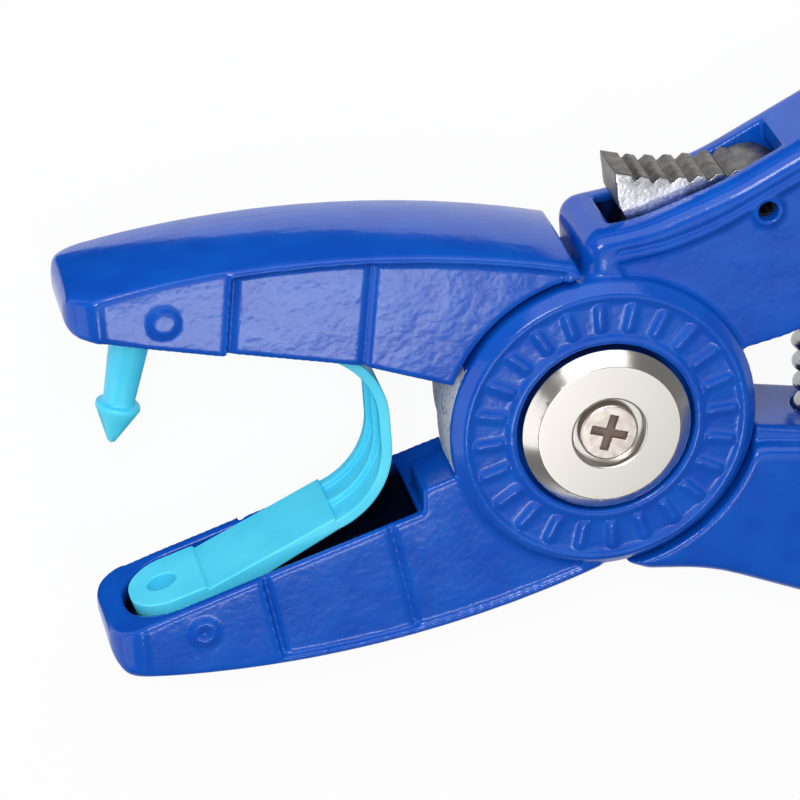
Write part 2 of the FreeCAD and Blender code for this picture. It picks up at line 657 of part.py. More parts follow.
def jaw_plan(body, name, side, depth):
    """A sketch square to a jaw's rim: x runs out along the rim, y along the pivot.
    depth is the plane's distance from the pivot axis, toward the lower jaw's back."""
    sketch = make_sketch(body, name, "XZ_Plane")
    sketch.AttachmentOffset = FreeCAD.Placement(V(0, 0, 0), FreeCAD.Rotation(V(0, 1, 0), 170))
    bind(sketch, "AttachmentOffset.Rotation.Angle", f"180 - ({side}) * jaw_slope")
    bind(sketch, "AttachmentOffset.Base.x", f"-({side}) * ({depth}) * sin(jaw_slope)")
    bind(sketch, "AttachmentOffset.Base.z", f"({depth}) * cos(jaw_slope)")
    doc.recompute([sketch])
    return sketch


def rectangle(sketch, left, right, bottom, top, round_right=None):
    """An upright rectangle, its right corners rounded if a radius is given."""
    extra = () if round_right is None else (round_right,)
    draw_outline(sketch, [(left, bottom), (right, bottom) + extra,
                          (right, top) + extra, (left, top)])


def sunk_web(body):
    """The sunk side of the handle's root, under a ridge that follows its upper edge,
    with a groove along the ridge and a ring left round the pin hole."""
    face = "handle_width / 2"
    ridge = [("4", "29.3"), ("12.8", "30", "30"), ("21.5", "32.2", "40"),
             ("36", "38.8", "40"), ("60", "50.4")]
    web = make_sketch(body, "web_outline", offset=("0", "0", face))
    draw_outline(web, ridge + [("74", "44"), ("knee_x", "18"), ("34", "8"), ("14", "8")])
    cut = pocket(body, "web", web, "web_recess", both_ways=False)
    line = make_sketch(body, "ridge_groove_outline", offset=("0", "0", face))
    lower = [(x, f"{y} + ridge_width") + tuple(r) for x, y, *r in ridge]
    upper = [(x, f"{y} + ridge_width + groove_width") + tuple(r)
             for x, y, *r in reversed(ridge)]
    draw_outline(line, lower + upper)
    groove = pocket(body, "ridge_groove", line, "web_recess / 2", both_ways=False)
    ring = make_sketch(body, "pin_ring_outline", offset=("0", "0", f"{face} - web_recess - 0.1"))
    draw_circle(ring, "pin_x", "pin_y", "pin_boss_radius")
    boss = pad(body, "pin_ring", ring, "web_recess + 0.1", both_ways=False)
    mirror_sides(body, "far_web", [cut, groove, boss])


def tray(body):
    """The tray that holds the female end, its deep trough and the well for the spike."""
    half = "(tray_width / 2)"
    above = "(lower_throat - block_height - 6)"
    floor = "(lower_throat + tray_depth)"
    shallow = jaw_plan(body, "tray_plan", -1, above)
    rectangle(shallow, "trough_near", TRAY_END, f"-{half}", half, f"{half} - 0.8")
    pocket(body, "tray", shallow, f"{floor} - {above}", both_ways=False)
    seat = "(lower_throat - female_rise + female_thickness + seat_gap)"
    wide = "(support_width / 2)"
    support = jaw_plan(body, "support_plan", -1, seat)
    rectangle(support, "trough_far + 1", f"{HOLE_REACH} + support_width / 2", f"-{wide}", wide,
              f"{wide} - 0.5")
    pad(body, "support", support, f"{floor} - {seat} + 1", both_ways=False, reverse=True)
    deep = jaw_plan(body, "trough_plan", -1, "lower_throat")
    rectangle(deep, "trough_near", "trough_far", f"-{half}", half)
    pocket(body, "trough", deep, "trough_depth", both_ways=False)
    well = jaw_plan(body, "well_plan", -1, "lower_throat")
    draw_circle(well, HOLE_REACH, "0", "well_radius")
    pocket(body, "well", well, "60", both_ways=False)


def thumb_slot(body):
    """Slot, spring seat, pawl window and pin hole for the thumb lever."""
    slot = make_sketch(body, "slot_outline")
    draw_outline(slot, [
        ("slot_front", "60"), ("slot_front", "slot_floor"),
        ("pin_x + thumb_barrel + 0.8", "slot_floor", "thumb_barrel + 0.4"),
        ("pin_x + thumb_barrel + 0.8", "pin_y + 2"),
        ("pin_x + slot_end", "pin_y + thumb_barrel"), ("pin_x + slot_end", "60")])
    pocket(body, "slot", slot, "thumb_width + 2 * slot_clearance")
    seat = make_sketch(body, "button_seat_plan", "XZ_Plane", ("0", "0", "-slot_floor"))
    draw_circle(seat, "button_x", "0", "button_radius + button_wire / 2 + 0.2")
    pocket(body, "button_seat", seat, "button_seat", both_ways=False, reverse=True)
    window = make_sketch(body, "pawl_window_plan", "XZ_Plane", ("0", "0", "-slot_floor - 1"))
    rectangle(window, "pawl_x - pawl_length / 2 - pawl_window - 1",
              "pawl_x + pawl_length / 2 + pawl_window + 1",
              "-pawl_z - pawl_width / 2 - pawl_window",
              "-pawl_z + pawl_width / 2 + pawl_window")
    pocket(body, "pawl_window_cut", window, "8", both_ways=False, reverse=True)
    hole = make_sketch(body, "pin_hole_outline")
    draw_circle(hole, "pin_x", "pin_y", "pin_radius + pin_press")
    pocket(body, "pin_hole", hole, "80")


def return_spring_channel(body):
    """The hollow in the upper handle that takes the return spring, run on to the grip."""
    channel(body, "grip_channel", [
        ("37.3", "0"), ("37.3", "spring_top", "2"), ("54", "spring_top"),
        ("66", "38", "10"), ("upper_bend_x + 4", "upper_bend_top - channel_floor - 5", "40"),
        ("grip_length - 10", "upper_end_top - channel_floor - 1", "5"),
        ("grip_length - 10", "20"), ("60", "0")])


# ----------------------------------------------------------------- second lever
def upper_jaw_lever():
    body = make_body("upper_jaw_lever")
    jaw_blank(body, 1, "upper_back", "jaw_reach", [
        ("-18", "9.8"), ("-24.5", "10.9"),
        ("-root_panel_reach", upper_rim("root_panel_reach")),
        ("-step_reach", upper_rim("step_reach")),
        ("-step_reach - 0.7", upper_rim("step_reach", "step_height")),
        ("-jaw_reach", upper_rim("jaw_reach", "step_height"), "tip_rim_round"),
        ("-jaw_reach", "upper_back + crown_height - 2", "tip_crown_round"),
        ("-jaw_reach + 10", "upper_back + crown_height"),
        ("-back_centre", "upper_back + crown_height + 2"),
        ("-8", "upper_back + crown_height + 3"), ("-2.6", "28.4"), ("-4", "root_radius - 1")])
    side_panels(body, 1, "upper_back", "jaw_reach", upper_rim, "5")
    hub_disk(body, "rear_disk", [
        (f"{BORE} + bush_wall", f"-{DISK_IN}"), ("rear_disk_radius", f"-{DISK_IN}"),
        ("rear_disk_radius", f"-({HALF}) + rear_disk_inset + rear_disk_bevel"),
        ("rear_disk_radius - rear_disk_bevel", f"-({HALF}) + rear_disk_inset"),
        ("bolt_head_radius + head_clearance", f"-({HALF}) + rear_disk_inset"),
        ("bolt_head_radius + head_clearance", f"-({HALF}) + bolt_head_height"),
        (f"{BORE} + bush_wall", f"-({HALF}) + bolt_head_height")])
    fuse_with(body, "handle_fusion", lower_handle())
    clearance = make_sketch(body, "front_disk_space", offset=("0", "0", f"-{DISK_IN}"))
    draw_circle(clearance, "0", "0", "disk_radius + hub_gap")
    pocket(body, "front_disk_clearance", clearance, "hub_height", both_ways=False,
           reverse=True)
    socket(body)
    notch = make_sketch(body, "lock_notch_outline", offset=("0", "0", f"-{DISK_IN}"))
    draw_outline(notch, [
        on_disk("rear_disk_radius - lock_notch_depth", "-lock_notch_width / 2"),
        on_disk("rear_disk_radius - lock_notch_depth", "lock_notch_width / 2"),
        on_disk("rear_disk_radius + 3", "lock_notch_width * 0.8"),
        on_disk("rear_disk_radius + 3", "-lock_notch_width * 0.8")])
    pocket(body, "lock_notch", notch, "8", both_ways=False)
    raise_to_middle(body)
    return body


def on_disk(out, across):
    """A point of the lock notch: its distance out from the pivot, and across that line."""
    turn = "lock_notch_angle"
    return (f"({out}) * cos({turn}) - ({across}) * sin({turn})",
            f"({out}) * sin({turn}) + ({across}) * cos({turn})")


def lower_handle():
    outline = [
        ("root_radius", "-4.4"), ("5", "-root_radius + 1.4"), ("5", "-29.2"),
        ("18", "-31.9", "40"), ("36", "-40.2", "60"), ("64", "-51.8"), ("78", "-50"),
        ("78", "-24"), ("knee_x", "-lower_knee + 1.5", "60"), ("42", "-9.4", "30"),
        ("30", "-6.8")]
    palm = [
        ("1", "-24"), ("1", "-27.3"), ("6.5", "-30.1", "6"), ("18", "-31.9", "40"),
        ("36", "-40.4", "60"), ("64", "-52"), ("78", "-50"), ("78", "-24"),
        ("knee_x", "-lower_knee", "60"), ("40", "-spring_seat + 0.3", "20"),
        ("26", "-8.6", "6"), ("20", "-16")]
    grip = [
        ("62", "-56"), ("60", "-lower_knee - 1", "6"),
        ("lower_finger_x", "-lower_finger_top", "90"),
        ("grip_length", "-lower_end_top", "grip_end_round"),
        ("grip_length", "-lower_end_bottom", "grip_end_round"),
        ("lower_bend_x", "-lower_bend_bottom", "110")]
    body = rounded_slab("lower_handle", outline, "lower_root_width", "1.5",
                        lambda p: p.y > -12 and 22 < p.x < 60)
    fuse_with(body, "palm_fusion", rounded_slab(
        "lower_palm", palm, "palm_width", "palm_edge_round",
        lambda p: (p.x > 20 and p.y > -30 or p.y < -31) and p.x < 70))
    fuse_with(body, "grip_fusion", rounded_slab(
        "lower_grip", grip, "grip_width", "grip_edge_round", lambda p: True))
    cup = make_sketch(body, "spring_cup_section", offset=("spring_x", "0", "0"))
    inner = "spring_radius + spring_wire / 2 + spring_clearance"
    rectangle(cup, "0", f"{inner} + spring_cup_wall", "-spring_seat - 4",
              "-spring_seat + spring_cup_height")
    revolve(body, "spring_cup", cup)
    seat = make_sketch(body, "spring_seat_plan", "XZ_Plane", ("0", "0", "spring_seat - 6"))
    draw_circle(seat, "spring_x", "0", inner)
    pocket(body, "spring_seat_cut", seat, "6", both_ways=False, reverse=True)
    channel(body, "grip_channel", [
        ("58", "0"), ("58", "-26", "4"), ("82", "-44", "30"),
        ("grip_length - 10", "-lower_end_bottom + channel_floor + 3", "5"),
        ("grip_length - 10", "-20"), ("100", "0")])
    return body


def socket(body):
    """The socket under the upper jaw that holds the male end and its leaf spring."""
    half = "(socket_width / 2)"
    below = "-upper_throat + 8"
    plan = jaw_plan(body, "socket_plan", 1, below)
    rectangle(plan, "socket_near", SOCKET_END, f"-{half}", half, f"{half} - 0.8")
    pocket(body, "socket", plan, f"socket_depth + {below} + upper_throat",
           both_ways=False, reverse=True)
    hole = jaw_plan(body, "clip_hole_plan", 1, "-upper_throat - socket_depth")
    draw_circle(hole, "clip_screw_reach", "0", "clip_screw_radius")
    pocket(body, "clip_hole", hole, "6", both_ways=False, reverse=True)


# ------------------------------------------------------------------- hub pieces
def turned(name, profile):
    """A round piece on the pivot axis, from its half section (radius, height)."""
    body = make_body(name)
    sketch = make_sketch(body, "half_section", "XZ_Plane")
    draw_outline(sketch, profile)
    revolve(body, "turning", sketch)
    raise_to_middle(body)
    return body


FLOOR = f"{HALF} - cap_pocket_depth"
CAP_FOOT = f"({FLOOR} + ring_thickness)"
CAP_TOP = f"({HALF} + cap_rise)"
WELL_FLOOR = f"({CAP_TOP} - screw_well_depth)"


def pivot_bolt():
    hole = "screw_radius + screw_fit"
    return turned("pivot_bolt", [
        ("0", f"-({HALF})"), ("bolt_head_radius - 0.8", f"-({HALF})"),
        ("bolt_head_radius", f"-({HALF}) + 0.8"),
        ("bolt_head_radius", f"-({HALF}) + bolt_head_height - bolt_fit"),
        ("bolt_radius", f"-({HALF}) + bolt_head_height - bolt_fit"),
        ("bolt_radius", CAP_FOOT), (hole, CAP_FOOT),
        (hole, f"{WELL_FLOOR} - screw_length - 1"), ("0", f"{WELL_FLOOR} - screw_length - 1")])


def pivot_bush():
    return turned("pivot_bush", [
        (BORE, f"-({HALF}) + bolt_head_height"),
        (f"{BORE} + bush_wall", f"-({HALF}) + bolt_head_height"),
        (f"{BORE} + bush_wall", f"-{DISK_IN}"), (BORE, f"-{DISK_IN}")])


def thrust_washer():
    return turned("thrust_washer", [
        (BORE, f"-{DISK_IN} + bolt_fit"), ("washer_radius", f"-{DISK_IN} + bolt_fit"),
        ("washer_radius", DISK_IN), (BORE, DISK_IN)])


def friction_ring():
    return turned("friction_ring", [
        (BORE, FLOOR), ("cap_radius - 0.4", FLOOR), ("cap_radius - 0.4", CAP_FOOT),
        (BORE, CAP_FOOT)])


def pivot_cap():
    hole = "screw_radius + screw_fit"
    return turned("pivot_cap", [
        (hole, CAP_FOOT), ("cap_radius", CAP_FOOT), ("cap_radius", HALF),
        ("cap_radius - cap_bevel", CAP_TOP), ("screw_well_radius + 0.3", CAP_TOP),
        ("screw_well_radius", f"{CAP_TOP} - 0.3"), ("screw_well_radius", WELL_FLOOR),
        (hole, WELL_FLOOR)])


def pivot_screw():
    body = turned("pivot_screw", [
        ("0", f"{WELL_FLOOR} - screw_length"),
        ("screw_radius - 0.5", f"{WELL_FLOOR} - screw_length"),
        ("screw_radius", f"{WELL_FLOOR} - screw_length + 0.5"), ("screw_radius", WELL_FLOOR),
        ("screw_head_radius", WELL_FLOOR),
        ("screw_head_radius", f"{WELL_FLOOR} + screw_head_height - screw_head_bevel"),
        ("screw_head_radius - screw_head_bevel", f"{WELL_FLOOR} + screw_head_height"),
        ("0", f"{WELL_FLOOR} + screw_head_height")])
    long, wide = "cross_reach", "(cross_width / 2)"
    top = f"{WELL_FLOOR} + screw_head_height"
    for name, across, along in (("bar_one", long, wide), ("bar_two", wide, long)):
        sketch = make_sketch(body, name + "_outline", offset=("0", "0", top))
        rectangle(sketch, f"-{across}", across, f"-{along}", along)
        pocket(body, name, sketch, "cross_depth", both_ways=False)
    return body


# ------------------------------------------------------------------- thumb lock
def thumb_lever():
    body = make_body("thumb_lever")
    low = "-thumb_bottom"

    def top(x):
        """The hollow line that the tips of the teeth follow."""
        return f"thumb_top + thumb_hollow * (2 * ({x}) / thumb_reach + 1) ^ 2"
    teeth = []
    for i in range(int(value("tooth_count"))):
        start = f"-tooth_start + {i} * tooth_pitch"
        crest, valley = f"{start} + 0.35 * tooth_pitch", f"{start} + 0.8 * tooth_pitch"
        teeth += [(start, f"{top(start)} - tooth_depth"), (crest, top(crest), "0.4"),
                  (valley, f"{top(valley)} - 0.2 * tooth_depth", "0.4")]
    arm = make_sketch(body, "arm_outline")
    draw_outline(arm, [
        ("1.2", "thumb_top"), ("1.2", low), ("-thumb_reach + 3", low, "2.6"),
        ("-thumb_reach + 0.9", "0.6"), ("-thumb_reach", top("-thumb_reach")),
        ("-tooth_start - 0.3", top("-tooth_start"))] + teeth)
    pad(body, "arm", arm, "thumb_width")
    barrel = make_sketch(body, "barrel_outline")
    draw_circle(barrel, "0", "0", "thumb_barrel")
    pad(body, "barrel", barrel, "thumb_width")
    pawl = make_sketch(body, "pawl_outline", offset=("0", "0", "-pawl_z"))
    reach = "(pin_x - pawl_x)"
    draw_outline(pawl, [
        (f"-{reach} - pawl_length / 2", f"{low} + 1"),
        (f"-{reach} - pawl_length / 2 + 0.4", "-8.4"),
        (f"-{reach} + pawl_length / 2 - 0.4", "-8.4"),
        (f"-{reach} + pawl_length / 2", f"{low} + 1")])
    pad(body, "pawl", pawl, "pawl_width")
    hole = make_sketch(body, "pin_hole_outline")
    draw_circle(hole, "0", "0", "pin_radius + pin_fit")
    pocket(body, "pin_hole", hole, "40")
    bind(body, "Placement.Base.x", "pin_x")
    bind(body, "Placement.Base.y", "pin_y")
    raise_to_middle(body, "-thumb_tilt")
    return body


def lever_pin():
    body = make_body("lever_pin")
    ring = make_sketch(body, "pin_section")
    draw_circle(ring, "0", "0", "pin_radius")
    draw_circle(ring, "0", "0", "pin_radius - pin_wall")
    pad(body, "pin", ring, "handle_width - 2 * pin_recess")
    bind(body, "Placement.Base.x", "pin_x")
    bind(body, "Placement.Base.y", "pin_y")
    raise_to_middle(body)
    return body


# ---------------------------------------------------------------------- springs
def coil(name, radius, wire, turns, foot, height, place_x):
    """An upright compression spring: a round wire swept up a helix."""
    helix = doc.addObject("Part::Helix", name + "_helix")
    bind(helix, "Radius", radius)
    bind(helix, "Pitch", f"(({height}) - ({wire})) / ({turns})")
    bind(helix, "Height", f"({height}) - ({wire})")
    section = doc.addObject("Part::Circle", name + "_section")
    bind(section, "Radius", f"({wire}) / 2")
    bind(section, "Placement.Base.x", radius)
    section.Placement.Rotation = FreeCAD.Rotation(V(1, 0, 0), 90)
    sweep = doc.addObject("Part::Sweep", name)
    sweep.Sections = [section]
    sweep.Spine = (helix, ["Edge1"])
    sweep.Solid = True
    sweep.Frenet = True
    sweep.Label = name
    sweep.Placement.Rotation = FreeCAD.Rotation(V(1, 0, 0), -90)
    bind(sweep, "Placement.Base.x", place_x)
    bind(sweep, "Placement.Base.y", f"({foot}) + ({wire}) / 2")
    bind(sweep, "Placement.Base.z", "hub_height / 2")
    doc.recompute()
    return sweep


def return_spring():
    return coil("return_spring", "spring_radius", "spring_wire", "spring_turns",
                "-spring_seat + 0.1", "spring_seat + spring_top - 0.3", "spring_x")


def lever_spring():
    foot = "slot_floor - button_seat + 0.1"
    top = "pin_y - thumb_bottom + (pin_x - button_x) * sin(thumb_tilt) - 0.6"
    return coil("lever_spring", "button_radius", "button_wire", "button_turns",
                foot, f"({top}) - ({foot})", "button_x")


# -------------------------------------------------------------------------- tag
def strap_top(reach):
    """Height of the straight strap's upper face at a distance from the pivot."""
    near = "(strap_near * cos(jaw_slope) - (lower_throat - strap_lift) * sin(jaw_slope))"
    low = "(strap_near * sin(jaw_slope) + (lower_throat - strap_lift) * cos(jaw_slope))"
    return f"-{low} - tan(strap_slope) * (({reach}) - {near})"


def tag_female_end():
    body = make_body("tag_female_end")
    rise = "tan(strap_slope - jaw_slope)"
    top = "(lower_throat - female_rise)"
    far = f"({HOLE_REACH} + female_nose)"
    under = f"{top} + female_thickness"
    lift = "(lower_throat - strap_lift)"
    side = make_sketch(body, "side_outline")
    draw_outline(side, [
        ("strap_near", lift),
        (FEMALE_NEAR, f"{lift} + {rise} * ({FEMALE_NEAR} - strap_near)"),
        (f"{FEMALE_NEAR} + 0.3", top), (far, top), (far, under),
        (f"{FEMALE_NEAR} - 6", under), ("strap_near", f"{lift} + strap_thickness")])
    pad(body, "strap_and_plate", side, "tag_width")
    plan = make_sketch(body, "end_plan", "XZ_Plane")
    half = "(tag_width / 2)"
    inset = "tag_end_radius + 2"
    draw_outline(plan, [
        (f"{far} - {inset}", f"-{half}"), (far, f"-{half}", "tag_end_radius"),
        (far, half, "tag_end_radius"), (f"{far} - {inset}", half),
        (f"{far} - {inset}", f"{half} + 5"), (f"{far} + 5", f"{half} + 5"),
        (f"{far} + 5", f"-{half} - 5"), (f"{far} - {inset}", f"-{half} - 5")])
    pocket(body, "round_end", plan, "60")
    boss = make_sketch(body, "boss_plan", "XZ_Plane", ("0", "0", f"-({under}) + 1"))
    draw_circle(boss, HOLE_REACH, "0", "female_boss_radius")
    pad(body, "boss", boss, "female_boss_height + 1", both_ways=False, reverse=True)
    hole = make_sketch(body, "hole_plan", "XZ_Plane")
    draw_circle(hole, HOLE_REACH, "0", "hole_radius")
    pocket(body, "hole", hole, "80")
    raise_to_middle(body, "180 + jaw_slope")
    return body


def tag_male_end():
    body = make_body("tag_male_end")
    low = "(-upper_throat + strap_seat)"
    half = "(tag_width / 2)"
    plan = make_sketch(body, "plate_plan", "XZ_Plane", ("0", "0", f"-{low}"))
    rectangle(plan, "plate_near", f"{SPIKE_REACH} + tag_end_radius", f"-{half}", half,
              "tag_end_radius")
    pad(body, "plate", plan, "plate_thickness", both_ways=False)
    shoulder = f"({low} + spike_neck)"
    spike = make_sketch(body, "spike_section", offset=(SPIKE_REACH, "0", "0"))
    draw_outline(spike, [
        ("0", f"{low} - 0.5"), ("spike_root_radius", f"{low} - 0.5"),
        ("spike_root_radius", low), ("spike_neck_radius", f"{shoulder} - 1"),
        ("spike_neck_radius", shoulder), ("barb_radius", f"{shoulder} + 0.2"),
        ("barb_radius", f"{shoulder} + 1"), ("0.7", f"{shoulder} + barb_length - 0.5"),
        ("0", f"{shoulder} + barb_length")])
    revolve(body, "spike", spike)
    raise_to_middle(body, "180 - jaw_slope")
    return body


def tag_loop():
    body = make_body("tag_loop")
    thick = "strap_thickness"
    seat = "(upper_throat - strap_seat) / cos(jaw_slope)"
    near = "(strap_near * cos(jaw_slope) - (lower_throat - strap_lift) * sin(jaw_slope)) - 0.1"
    far = "plate_near * cos(jaw_slope) - (upper_throat - strap_seat) * sin(jaw_slope) - 0.1"
    bend = "loop_radius"

    def upper(reach, extra="0"):
        return f"{seat} + tan(jaw_slope) * ({reach}) + {extra}"

    def band(depth):
        """The loop's outline in side view, from its outer face to a depth inside it."""
        step = f"({thick} - ({depth}))"
        inside = f"(loop_x + ({depth}))"
        low = f"{step} / cos(strap_slope)"
        high = f"{step} / cos(jaw_slope)"
        start = f"({near} - {step} * sin(strap_slope))"
        stop = f"({far} - {step} * sin(jaw_slope))"
        return [
            (f"-{start}", f"{strap_top(start)} - {low}"),
            (f"-{inside}", f"{strap_top(inside)} - {low}", f"{bend} - ({depth})"),
            (f"-{inside}", upper(inside, high), f"{bend} - ({depth})"),
            (f"-{stop}", upper(stop, high))]
    outline = make_sketch(body, "band_outline")
    draw_outline(outline, band("loop_thickness") + band("0")[::-1])
    pad(body, "band", outline, "tag_width")
    width = "((tag_width - loop_rib) / 2 - loop_border)"
    side = make_sketch(body, "channel_outline", offset=("0", "0", f"loop_rib / 2 + {width}"))
    deep = "loop_thickness - loop_channel"
    draw_outline(side, band("loop_thickness + 0.4")
                 + band(deep)[::-1])
    cut = pocket(body, "channel", side, width, both_ways=False)
    mirror_sides(body, "far_channel", [cut])
    raise_to_middle(body)
    return body


def tag_clip():
    """The leaf spring that presses on the male end, drawn in the upper jaw's rim frame."""
    body = make_body("tag_clip")
    top = "(-upper_throat - socket_depth)"
    low = "(-upper_throat + strap_seat - plate_thickness - 0.3)"
    sheet_in = "clip_thickness"
    side = make_sketch(body, "leaf_outline")
    draw_outline(side, [
        ("socket_near + 1.5", top), ("58", top), ("66", f"{low} - {sheet_in}"),
        ("clip_end", f"{low} - {sheet_in}"), ("clip_end", low), ("65.4", low),
        ("57.4", f"{top} + {sheet_in}"), ("socket_near + 1.5", f"{top} + {sheet_in}")])
    pad(body, "leaf", side, "clip_width")
    hole = make_sketch(body, "hole_plan", "XZ_Plane")
    draw_circle(hole, "clip_screw_reach", "0", "clip_screw_radius + 0.1")
    pocket(body, "hole", hole, "80")
    raise_to_middle(body, "180 - jaw_slope")
    return body


def clip_screw():
    body = make_body("clip_screw")
    seat = "(-upper_throat - socket_depth + clip_thickness)"
    section = make_sketch(body, "half_section", offset=("clip_screw_reach", "0", "0"))
    draw_outline(section, [
        ("0", f"{seat} - 5"), ("clip_screw_radius", f"{seat} - 5"), ("clip_screw_radius", seat),
        ("clip_head_radius", seat), ("clip_head_radius - 0.6", f"{seat} + 1.2"),
        ("0", f"{seat} + 1.2")])
    revolve(body, "screw", section)
    raise_to_middle(body, "180 - jaw_slope")
    return body


# --------------------------------------------------------------- build and write
MAKERS = [lower_jaw_lever, upper_jaw_lever, pivot_bolt, pivot_bush, thrust_washer,
          friction_ring, pivot_cap, pivot_screw, thumb_lever, lever_pin, lever_spring,
          return_spring, tag_female_end, tag_loop, tag_male_end, tag_clip, clip_screw]
nodes = [maker() for maker in MAKERS]
doc.recompute()
for thing in doc.Objects:
    if "Invalid" in thing.State or "Error" in thing.State:
        raise RuntimeError(f"{thing.Name} did not compute")
for node in nodes:
    if node.Shape.isNull() or not node.Shape.isValid() or len(node.Shape.Solids) != 1:
        raise RuntimeError(f"{node.Label} is not one sound solid")
    node.Shape.exportStep(f"parts/{node.Label}.step")
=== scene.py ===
import math
import bmesh
import bpy
from mathutils import Matrix, Vector


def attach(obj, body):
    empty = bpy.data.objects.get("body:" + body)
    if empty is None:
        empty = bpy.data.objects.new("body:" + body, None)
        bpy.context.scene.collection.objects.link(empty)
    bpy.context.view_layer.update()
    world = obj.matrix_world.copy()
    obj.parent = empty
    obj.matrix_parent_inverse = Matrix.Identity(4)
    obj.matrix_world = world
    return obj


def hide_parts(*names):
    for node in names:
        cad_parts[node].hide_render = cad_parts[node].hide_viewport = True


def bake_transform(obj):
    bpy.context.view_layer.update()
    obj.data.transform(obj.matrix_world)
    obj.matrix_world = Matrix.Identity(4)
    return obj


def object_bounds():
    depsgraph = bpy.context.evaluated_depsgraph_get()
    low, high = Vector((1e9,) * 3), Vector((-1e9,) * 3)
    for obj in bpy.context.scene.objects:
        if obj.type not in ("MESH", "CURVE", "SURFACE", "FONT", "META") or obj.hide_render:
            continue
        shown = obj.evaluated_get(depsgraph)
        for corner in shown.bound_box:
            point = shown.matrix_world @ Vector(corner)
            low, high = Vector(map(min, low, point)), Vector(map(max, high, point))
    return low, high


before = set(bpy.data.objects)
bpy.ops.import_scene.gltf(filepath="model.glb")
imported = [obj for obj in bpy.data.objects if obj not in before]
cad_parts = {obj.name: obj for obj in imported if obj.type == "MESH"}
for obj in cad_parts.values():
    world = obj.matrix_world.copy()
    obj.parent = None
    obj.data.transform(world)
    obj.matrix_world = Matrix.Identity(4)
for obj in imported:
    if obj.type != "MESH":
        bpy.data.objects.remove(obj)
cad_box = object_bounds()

MM = 0.001

# ------------------------------------------------------------------- the camera
# A long lens 0.8 m from the pivot, about 62 degrees above the table on the capped side,
# so that the jaws fill the view and the handles run out of it.
CAMERA_PLACE = Vector((-154.1, 349.3, 703.9)) * MM
CAMERA_RIGHT = Vector((0.97635, -0.06828, 0.2051))
CAMERA_UP = Vector((0.15092, 0.89465, -0.4206))
CAMERA_SENSOR = 36
CAMERA_LENS = 202.5
CAMERA_REACH = (0.01, 20)
camera = bpy.data.objects.new("camera", bpy.data.cameras.new("camera"))
bpy.context.scene.collection.objects.link(camera)
camera.data.sensor_width = CAMERA_SENSOR
camera.data.lens = CAMERA_LENS
camera.data.clip_start, camera.data.clip_end = CAMERA_REACH
turn = Matrix((CAMERA_RIGHT, CAMERA_UP, CAMERA_RIGHT.cross(CAMERA_UP))).transposed()
camera.matrix_world = Matrix.Translation(CAMERA_PLACE) @ turn.to_4x4()
bpy.context.scene.camera = camera
bpy.context.scene.view_settings.view_transform = "Standard"

# -------------------------------------------------------- the bench and the light
# A white table that the tool lies on, inside a white tent with soft boxes above, on the
# camera's side, behind and at the tip's side, and a small one for a glint on the jaws.
TABLE_HALF = 6
TABLE_DROP = 0.2 * MM
TABLE_GLOW = 0.94
ROOM_LIGHT = 0.2


def linear(text):
    """An sRGB hex colour as Blender's linear colour."""
    parts = [int(text[i:i + 2], 16) / 255 for i in (0, 2, 4)]
    return [p / 12.92 if p <= 0.04045 else ((p + 0.055) / 1.055) ** 2.4 for p in parts] + [1.0]


def add(tree, kind, links=None, **settings):
    """Adds one shader node, with its settings, its constants and its links."""
    node = tree.nodes.new("ShaderNode" + kind)
    for name, value in settings.items():
        setattr(node, name, value)
    for socket, value in (links or {}).items():
        target = node.inputs[socket]
        if isinstance(value, bpy.types.NodeSocket):
            tree.links.new(value, target)
        else:
            target.default_value = value
    return node


def new_material(name):
    """An empty material, its node tree and its output."""
    material = bpy.data.materials.new(name)
    material.use_nodes = True
    tree = material.node_tree
    tree.nodes.clear()
    return material, tree, tree.nodes.new("ShaderNodeOutputMaterial")


def ramp(tree, factor, *stops):
    """A colour ramp through (position, sRGB hex) stops."""
    node = add(tree, "ValToRGB", {"Fac": factor})
    while len(node.color_ramp.elements) < len(stops):
        node.color_ramp.elements.new(0.5)
    for element, (position, colour) in zip(node.color_ramp.elements, stops):
        element.position = position
        element.color = linear(colour)
    return node.outputs["Color"]


# White paper, which seems to glow where it is seen directly or in a reflection.
white, tree, out = new_material("white_table")
seen = add(tree, "LightPath")
paper = add(tree, "BsdfDiffuse", {"Color": linear("f0f0f0")})
glow = add(tree, "Emission", {"Color": linear("ffffff"), "Strength": 1.0})
shown = add(tree, "MixShader", {0: TABLE_GLOW, 1: paper.outputs[0], 2: glow.outputs[0]})
clear = add(tree, "Math", {0: seen.outputs["Is Camera Ray"],
                           1: seen.outputs["Is Transmission Ray"]}, operation="MAXIMUM")
direct = add(tree, "Math", {0: clear.outputs[0], 1: seen.outputs["Is Glossy Ray"]},
             operation="MAXIMUM")
both = add(tree, "MixShader", {0: direct.outputs[0], 1: paper.outputs[0],
                               2: shown.outputs[0]})
tree.links.new(both.outputs[0], out.inputs["Surface"])


def flat_sheet(name, corners, material):
    """A flat piece of the studio."""
    mesh = bpy.data.meshes.new(name)
    sheet = bmesh.new()
    sheet.faces.new([sheet.verts.new(corner) for corner in corners])
    sheet.to_mesh(mesh)
    sheet.free()
    thing = bpy.data.objects.new(name, mesh)
    bpy.context.scene.collection.objects.link(thing)
    mesh.materials.append(material)
    return thing


level = cad_box[0][2] - TABLE_DROP
flat_sheet("table", [(x * TABLE_HALF, y * TABLE_HALF, level)
                     for x, y in ((-1, -1), (1, -1), (1, 1), (-1, 1))], white)

